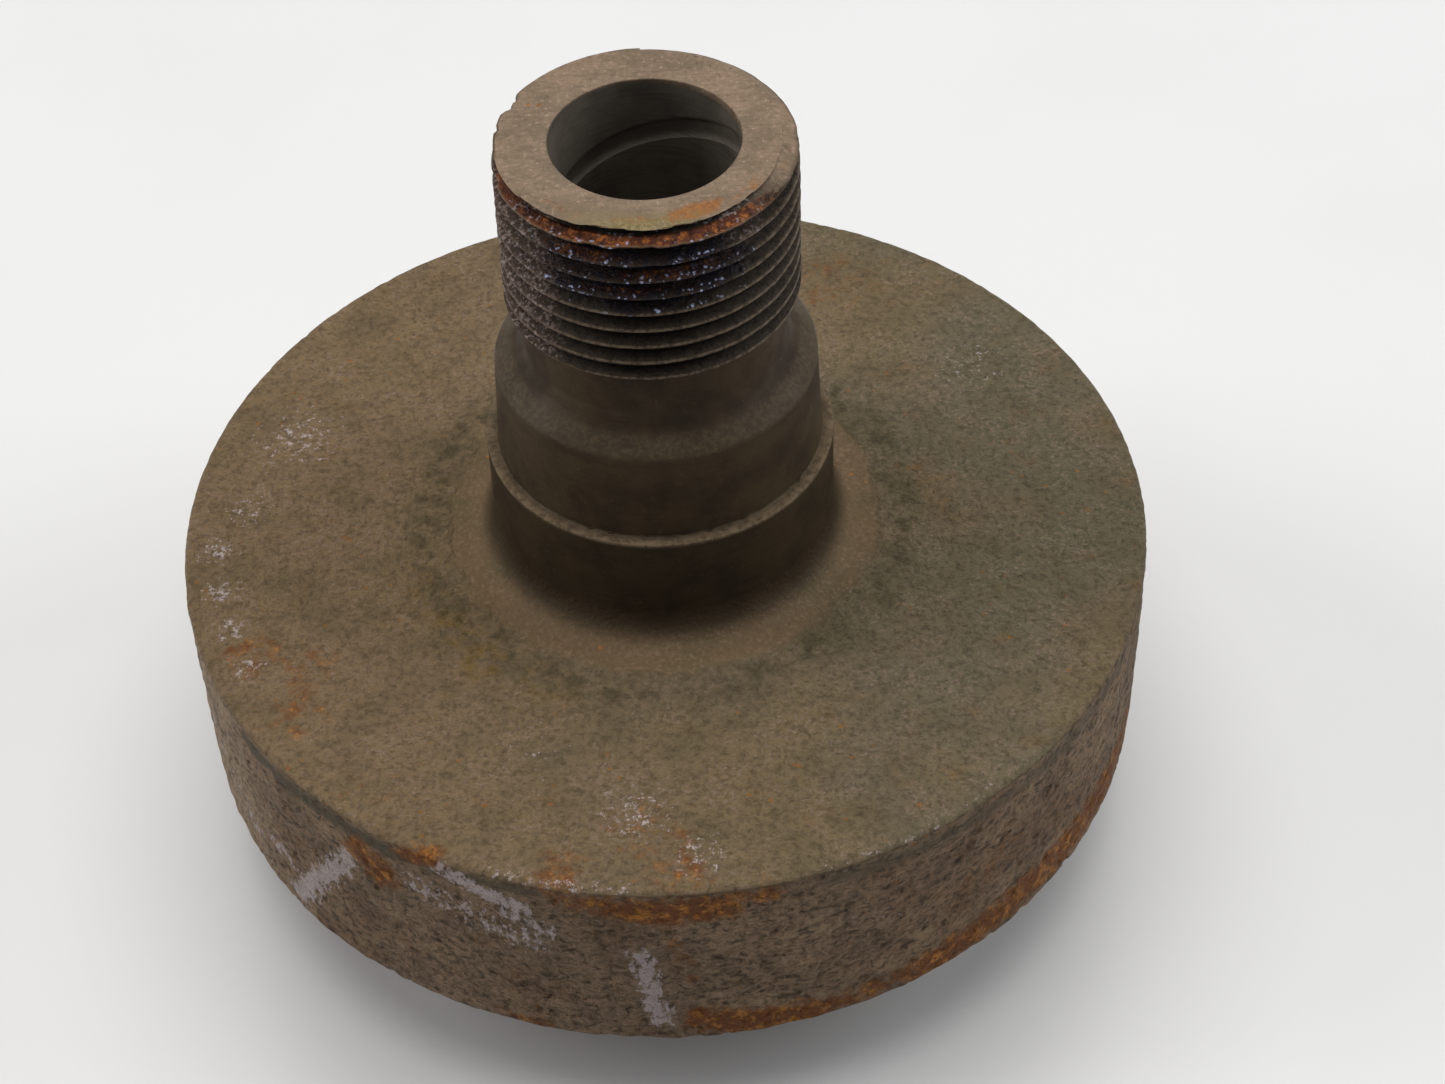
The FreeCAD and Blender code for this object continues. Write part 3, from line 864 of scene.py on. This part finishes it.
def cast_skin():
    """Rusted casting: mottled olive and mauve browns over a pitted, wrinkled skin, with painted
    light and shade: painted highlights on the rim's wrinkles and the top edge, mauve glints, a
    lighter left side of the rim, and painted shade in the wrinkles' hollows and round the collar's
    foot.
    """
    g = Graph("rusted_cast_steel")
    x = g.position()[0]
    side, ring, belt, foot = (g.mask(name) for name in ("side", "ring", "belt", "foot"))
    rusty, scuffed_or_glinting = g.mask("rust"), g.mask("scuff")
    cloud = g.noise(7, 5, 0.65, shift=3)
    grain = g.noise(0.7, 5, 0.7)
    grit = g.noise(0.5, 3, 0.65, shift=7)
    wrinkle = g.noise(1.25, 5, 0.65, stretch=(1, 1, 1.4), shift=5, warp=0.5)

    color = g.mix(g.ramp(x, -0.05, 0.05), srgb(150, 125, 94), srgb(124, 116, 92))
    color = g.mix(g.ramp(g.noise(30, 4, 0.6), 0.38, 0.64, 0, 0.7), color, srgb(146, 124, 90))
    color = g.mix(g.ramp(cloud, 0.42, 0.70, 0, 0.55), color, srgb(116, 102, 77))
    warm = g.ramp(g.noise(4, 4, 0.6, shift=9), 0.55, 0.75, 0, 0.5)
    color = g.mix(warm, color, srgb(140, 108, 72))
    # Painted glints: small pale mauve flecks on the grit's raised specks.
    mauve_glint_flecks = g.times(g.ramp(grit, 0.50, 0.62), g.ramp(cloud, 0.35, 0.6, 0.75, 0.15))
    color = g.mix(mauve_glint_flecks, color, srgb(164, 140, 124))
    side_color = g.mix(g.ramp(cloud, 0.35, 0.7), srgb(178, 149, 118), srgb(142, 119, 94))
    red_cloud = g.ramp(g.noise(12, 4, 0.6, shift=14), 0.45, 0.7, 0, 0.6)
    side_color = g.mix(red_cloud, side_color, srgb(142, 106, 78))
    # Painted light: the rim's colour gets lighter towards its left side.
    side_color = g.mix(g.ramp(x, -0.056, -0.042, 0.8, 0), side_color, srgb(208, 180, 150))
    color = g.mix(side, color, side_color)
    ochre = g.times(g.mask("ochre"), g.ramp(g.noise(3, 4, 0.65, shift=16), 0.45, 0.65))
    color = g.mix(ochre, color, srgb(140, 112, 58))
    dimples = g.times(belt, g.ramp(g.noise(2.4, 4, 0.6, shift=18), 0.40, 0.62, 0.05, 0.6))
    color = g.mix(dimples, color, srgb(74, 70, 48))
    # Darker where the grain's relief is low, less so on the smooth ring.
    dark = g.ramp(grain, 0.32, 0.60, 0.50, 0)
    color = g.mix(g.times(dark, g.ramp(ring, 0, 1, 1, 0.25)), color, srgb(58, 48, 35))
    # Painted shade in the hollows of the rim's wrinkled relief, and painted highlights on its
    # peaks.
    painted_hollow_shade = g.times(side, g.ramp(wrinkle, 0.30, 0.54, 0.85, 0))
    color = g.mix(painted_hollow_shade, color, srgb(46, 36, 27))
    painted_peak_highlight = g.times(side, g.ramp(wrinkle, 0.56, 0.70, 0, 0.5))
    color = g.mix(painted_peak_highlight, color, srgb(176, 152, 128))
    tone = g.ramp(g.noise(9, 4, 0.6, shift=2), 0.4, 0.65)
    ring_color = g.mix(tone, srgb(108, 87, 64), srgb(92, 80, 54))
    ring_color = g.mix(g.ramp(grit, 0.36, 0.48, 0.30, 0), ring_color, srgb(66, 54, 38))
    ring_color = g.mix(g.ramp(grit, 0.54, 0.66, 0, 0.45), ring_color, srgb(142, 118, 92))
    color = g.mix(g.times(ring, 0.82), color, ring_color)
    # Painted shade round the collar's foot, in the collar's dark steel colour.
    tone = g.ramp(g.noise(5.5, 4, 0.6, shift=5), 0.35, 0.7)
    color = g.mix(foot, color, g.mix(tone, srgb(68, 56, 41), srgb(58, 48, 34)))
    color = g.mix(g.ramp(g.mask("band"), 0.15, 0.7, 0, 0.75), color, srgb(88, 81, 65))

    flakes = g.noise(2.2, 6, 0.75, shift=4)
    rust_amount = g.ragged(rusty, flakes, 2.2, 0.25, 0.85, 0, 0.3)
    tone = g.ramp(g.noise(1.4, 4, 0.7, shift=6), 0.48, 0.66)
    rust_color = g.mix(tone, srgb(134, 84, 48), srgb(206, 138, 62))
    rust_color = g.mix(g.ramp(grit, 0.52, 0.70, 0, 0.7), rust_color, srgb(66, 36, 22))
    color = g.mix(rust_amount, color, rust_color)

    # Pale scuffs. The streaks along the top edge and the spots near the top's left edge are painted
    # highlights and glints. All of them are a little glossier.
    chalk = g.noise(0.9, 5, 0.8, shift=8, stretch=(1, 1, 0.6))
    scuff_and_glint_amount = g.ragged(scuffed_or_glinting, chalk, 3.4, 0.50, 0.86, 0.05, 0.4)
    color = g.mix(g.ramp(scuff_and_glint_amount, 0, 1, 0, 0.85), color, srgb(214, 198, 196))

    regions = g.ramp(g.noise(14, 3, 0.5, shift=12), 0.47, 0.62)
    freckle = g.times(g.ramp(g.cells(2.4, shift=1), 0.06, 0.14, 1, 0), regions)
    # No freckles in the painted shade at the collar's foot.
    freckle = g.times(freckle, g.ramp(foot, 0, 0.4, 0.75, 0))
    color = g.mix(freckle, color, srgb(172, 108, 46))

    g.bump(g.times(grain, g.ramp(ring, 0, 1, 1, 0.2)), 0.9)
    g.bump(g.times(wrinkle, side), 1.5)
    g.bump(grit, 0.14)
    rough = g.ramp(grain, 0.3, 0.8, 0.46, 0.70)
    rough = g.math("SUBTRACT", rough, g.times(scuff_and_glint_amount, 0.15))
    return g.finish(color, rough, specular=0.12)


def turned_base(g, light, dark):
    """Aged turned steel: clouds of tone, fine turning marks round the axis, small specks."""
    marks = g.noise(0.35, 3, 0.6, stretch=(0.05, 0.05, 1.5))
    cloud = g.noise(5.5, 4, 0.6, shift=5)
    specks = g.noise(0.5, 3, 0.7, shift=11)
    color = g.mix(g.ramp(cloud, 0.35, 0.7), light, dark)
    color = g.mix(g.ramp(marks, 0.45, 0.75, 0, 0.35), color, srgb(40, 34, 26))
    color = g.mix(g.ramp(specks, 0.60, 0.78, 0, 0.35), color, srgb(120, 102, 80))
    g.bump(marks, 0.012)
    g.bump(specks, 0.03)
    return color, g.ramp(cloud, 0.3, 0.7, 0.46, 0.62)


def collar_skin():
    """Dark turned steel with a lighter ledge: partly worn, partly a painted highlight that is
    brightest at its outer edge.
    """
    g = Graph("collar_steel")
    color, rough = turned_base(g, srgb(66, 55, 40), srgb(54, 45, 33))
    tone = g.ramp(g.noise(0.8, 4, 0.7), 0.4, 0.65)
    # The ledge's lighter colour: partly wear, partly painted highlight.
    color = g.mix(g.mask("ledge"), color, g.mix(tone, srgb(122, 104, 82), srgb(88, 75, 58)))
    return g.finish(color, rough, specular=0.1)


def face_color(g, grit):
    """Brown scratched skin of the small end's flat face, shared by the stem and the bush."""
    scratches = g.noise(0.5, 3, 0.6, stretch=(0.10, 1.6, 1), shift=19)
    tone = g.ramp(g.noise(5, 4, 0.6, shift=21), 0.35, 0.65)
    color = g.mix(tone, srgb(142, 121, 100), srgb(120, 104, 85))
    color = g.mix(g.ramp(scratches, 0.42, 0.70, 0, 0.32), color, srgb(96, 80, 66))
    pink = g.ramp(g.noise(2.6, 5, 0.7, shift=23), 0.55, 0.72, 0, 0.45)
    color = g.mix(pink, color, srgb(164, 128, 116))
    color = g.mix(g.ramp(grit, 0.34, 0.46, 0.5, 0), color, srgb(184, 156, 136))
    return g.mix(g.ramp(grit, 0.54, 0.68, 0, 0.6), color, srgb(84, 70, 56))


def stem_skin():
    """Turned steel; the dark thread is oily in front, gritty at the left and rusty at the lip, with
    painted highlights on its crests, painted shade in its roots, painted glints, and a painted
    bluish sheen in the oil.
    """
    g = Graph("stem_steel")
    color, rough = turned_base(g, srgb(73, 59, 41), srgb(54, 44, 31))
    grit = g.noise(0.6, 4, 0.75, shift=13)
    lumps = g.noise(1.1, 4, 0.7, shift=29)
    slope_color = g.mix(g.ramp(grit, 0.42, 0.62), srgb(74, 64, 50), srgb(104, 88, 68))
    color = g.mix(g.ramp(g.mask("slope"), 0, 1, 0, 0.5), color, slope_color)

    thread, ridge = g.mask("thread"), g.mask("crest")
    # Painted light and shade on the thread: the crests are lighter as painted highlights, and the
    # roots are painted near-black shade.
    flank = g.mix(g.ramp(grit, 0.35, 0.7), srgb(66, 55, 43), srgb(34, 28, 22))
    crest = g.mix(g.ramp(grit, 0.42, 0.62), srgb(118, 102, 84), srgb(70, 59, 47))
    thread_lit_and_shaded_color = g.mix(g.ramp(ridge, 0.78, 1.0), flank, crest)
    thread_lit_and_shaded_color = g.mix(g.ramp(ridge, 0.0, 0.5, 0.85, 0), thread_lit_and_shaded_color, srgb(18, 15, 12))
    color = g.mix(thread, color, thread_lit_and_shaded_color)

    wet = g.mask("wet")
    oily = g.ragged(wet, g.noise(3.2, 3, 0.6), 1.2, 0.25, 0.75, 0, 0.2)
    tone = g.ramp(g.noise(1.6, 3, 0.6, shift=2), 0.42, 0.6)
    # The oil darkens the thread red-brown; in places its tone turns bluish, a painted bluish sheen.
    oil_and_sheen_color = g.mix(tone, srgb(40, 25, 21), srgb(25, 23, 34))
    color = g.mix(g.ramp(oily, 0, 1, 0, 0.8), color, oil_and_sheen_color)

    gritty = g.mask("speckle")
    # Pale flecks in the speckle: partly pale grit, partly painted glints, and a little glossier.
    grit_and_glint_flecks = g.times(g.ramp(g.noise(0.5, 3, 0.7, shift=41), 0.50, 0.62), g.ramp(gritty, 0.05, 0.7))
    color = g.mix(g.ramp(gritty, 0, 1, 0, 0.55), color, srgb(96, 76, 64))
    color = g.mix(g.times(grit_and_glint_flecks, g.ramp(lumps, 0.36, 0.56)), color, srgb(160, 140, 132))

    tone = g.ramp(g.noise(1.1, 5, 0.75, shift=17), 0.46, 0.64)
    orange = g.mix(tone, srgb(92, 50, 32), srgb(176, 104, 46))
    orange = g.mix(g.ramp(lumps, 0.52, 0.62, 0, 0.9), orange, srgb(52, 28, 24))
    # Painted highlight: a lighter edge along the crest within the rust.
    orange = g.mix(g.ramp(ridge, 0.86, 1.0, 0, 0.6), orange, srgb(132, 104, 78))
    lip = g.ragged(g.mask("lip"), grit, 1.3, 0.25, 0.65, 0, 0.2)
    # The rust stops short of the root, which keeps the painted shade of the thread's root under the
    # torn edge.
    lip = g.times(lip, g.ramp(ridge, 0.22, 0.42))
    color = g.mix(lip, color, orange)

    face = g.mask("face")
    plain = face_color(g, grit)
    blotches = g.noise(2.2, 5, 0.7, shift=25)
    stain = g.ragged(g.mask("stain"), blotches, 1.6, 0.25, 0.9, 0, 0.25)
    stain_color = g.mix(g.ramp(grit, 0.40, 0.62), srgb(164, 106, 50), srgb(124, 74, 42))
    plain = g.mix(g.ramp(stain, 0, 1, 0, 0.85), plain, stain_color)
    crust = g.times(g.mask("crust"), g.ramp(lumps, 0.30, 0.52))
    tone = g.ramp(grit, 0.42, 0.6)
    plain = g.mix(crust, plain, g.mix(tone, srgb(112, 100, 62), srgb(150, 134, 98)))
    color = g.mix(face, color, plain)

    # Painted glints: small bright dots, bluish in the oily patch, on the oily crests, the gritty
    # parts and the rusty lip of the thread.
    uneven = g.times(g.math("SUBTRACT", g.noise(0.5, 2, 0.6, shift=31), 0.5), 1.6)
    painted_glint_dots = g.ramp(g.math("ADD", g.cells(0.6, shift=31), uneven), 0.14, 0.36, 1, 0)
    clusters = g.ramp(g.noise(2.4, 2, 0.5, shift=33), 0.48, 0.58)
    painted_glint_places = g.math("MAXIMUM", g.times(g.ramp(wet, 0.05, 0.5), g.ramp(ridge, 0.50, 0.75)),
                   g.times(g.ramp(gritty, 0.1, 0.6), 0.45))
    painted_glint_places = g.math("MAXIMUM", painted_glint_places, g.times(g.mask("lip"), 0.25))
    glint = g.times(g.times(painted_glint_dots, clusters), painted_glint_places)
    tone = g.ramp(wet, 0.1, 0.5)
    color = g.mix(glint, color, g.mix(tone, srgb(196, 182, 176), srgb(196, 204, 240)))

    g.bump(g.times(grit, thread), 0.22)
    g.bump(g.times(lumps, g.math("MAXIMUM", g.math("MAXIMUM", oily, gritty), lip)), 0.7)
    rough = g.math("SUBTRACT", rough, g.times(oily, 0.36))
    rough = g.math("SUBTRACT", rough, g.times(g.math("MAXIMUM", grit_and_glint_flecks, lip), 0.2))
    return g.finish(color, g.math("MAXIMUM", rough, 0.12), specular=0.15)


def bush_skin():
    """Grey bored steel; its rim is skinned like the stem's top face."""
    g = Graph("bush_steel")
    color, rough = turned_base(g, srgb(114, 105, 93), srgb(92, 85, 76))
    grit = g.noise(0.6, 4, 0.75, shift=13)
    color = g.mix(g.mask("face"), color, face_color(g, grit))
    return g.finish(color, rough, specular=0.2)


def dress(piece, material, slot, *nodes):
    """Gives a piece its material and lets it stand for the CAD nodes; slot is not used."""
    piece.data.materials.append(material)
    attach(piece, "root")
    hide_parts(*nodes)


# ---------------------------------------------------------------- table, light and camera


def make_table():
    """The plain pale floor, in metres like the lamps and the camera."""
    wide = 3.0
    bpy.ops.mesh.primitive_grid_add(x_subdivisions=4, y_subdivisions=4, size=wide)
    table = bpy.context.object
    table.name = "table"
    g = Graph("white_enamel")
    tone = g.ramp(g.noise(60, 3, 0.5), 0.35, 0.7)
    color = g.mix(tone, (0.86, 0.855, 0.85), (0.84, 0.835, 0.83))
    table.data.materials.append(g.finish(color, 0.32))


def make_lamp(name, power, size, place, color):
    """A round area lamp that faces the object."""
    data = bpy.data.lights.new(name, "AREA")
    data.shape = "DISK"
    data.energy = power
    data.size = size
    data.color = color
    lamp = bpy.data.objects.new(name, data)
    lamp.location = place
    lamp.rotation_euler = (-Vector(place)).to_track_quat("-Z", "Y").to_euler()
    bpy.context.scene.collection.objects.link(lamp)


def make_light():
    """A broad soft ceiling light, windows to the left and right, and a dim cool room."""
    make_lamp("ceiling", 30.5, 2.2, (0, 0.35, 1.9), (1.0, 0.985, 0.95))
    make_lamp("left_window", 19, 1.4, (-2.0, 0.3, 1.1), (1.0, 0.99, 0.98))
    make_lamp("right_window", 19, 1.4, (2.0, 0.2, 1.1), (0.96, 0.98, 1.0))
    world = bpy.data.worlds.new("room")
    world.use_nodes = True
    background = world.node_tree.nodes["Background"]
    background.inputs["Color"].default_value = (0.80, 0.88, 1.0, 1)
    background.inputs["Strength"].default_value = 0.16
    bpy.context.scene.world = world
    bpy.context.scene.view_settings.view_transform = "Standard"


def make_camera():
    """The viewer looks down at 45.6 degrees from in front of the stem's top face."""
    down, turn, tilt = (math.radians(angle) for angle in (45.584, 1.574, -1.992))
    in_front, above_stem = 0.24452, 0.18829
    forward = Vector((math.sin(turn) * math.cos(down), math.cos(turn) * math.cos(down),
                      -math.sin(down)))
    level = Vector((math.cos(turn), -math.sin(turn), 0))
    across = math.cos(tilt) * level + math.sin(tilt) * level.cross(forward)
    upward = across.cross(forward)
    data = bpy.data.cameras.new("camera")
    data.sensor_width = 36
    data.lens = 72.36
    data.clip_start = 0.01
    camera = bpy.data.objects.new("camera", data)
    turn_matrix = Matrix((across, upward, -forward)).transposed().to_4x4()
    place = Vector((0, -in_front, STEM_TOP * MM + above_stem))
    camera.matrix_world = Matrix.Translation(place) @ turn_matrix
    bpy.context.scene.collection.objects.link(camera)
    bpy.context.scene.camera = camera


# ---------------------------------------------------------------- build


def build():
    cast = cast_skin()
    dress(make_flange(), cast, "cast_steel", "flange_body")
    dress(make_pad(), cast, "weld_metal", "base_weld")
    dress(make_stem(), stem_skin(), "turned_steel", "threaded_stem")
    dress(make_collar(), collar_skin(), "collar_steel", "seat_collar")
    dress(make_bush(), bush_skin(), "bush_steel", "bore_bush")
    dress(make_spigot(), cast, "pipe_steel", "large_end_spigot")
    dress(make_fillet_weld("spigot_bead", SPIGOT_RAD - 0.8, SPIGOT_WELD_RAD, SPIGOT_WELD_TOP,
                           SPIGOT_WELD_FOOT, 81), cast, "weld_metal", "spigot_weld")
    dress(make_fillet_weld("tail_bead", STEM_RAD, ROOT_WELD_RAD, WEB_FOOT,
                           ROOT_WELD_FOOT, 91), cast, "weld_metal", "root_weld")
    make_table()
    make_light()
    make_camera()


build()
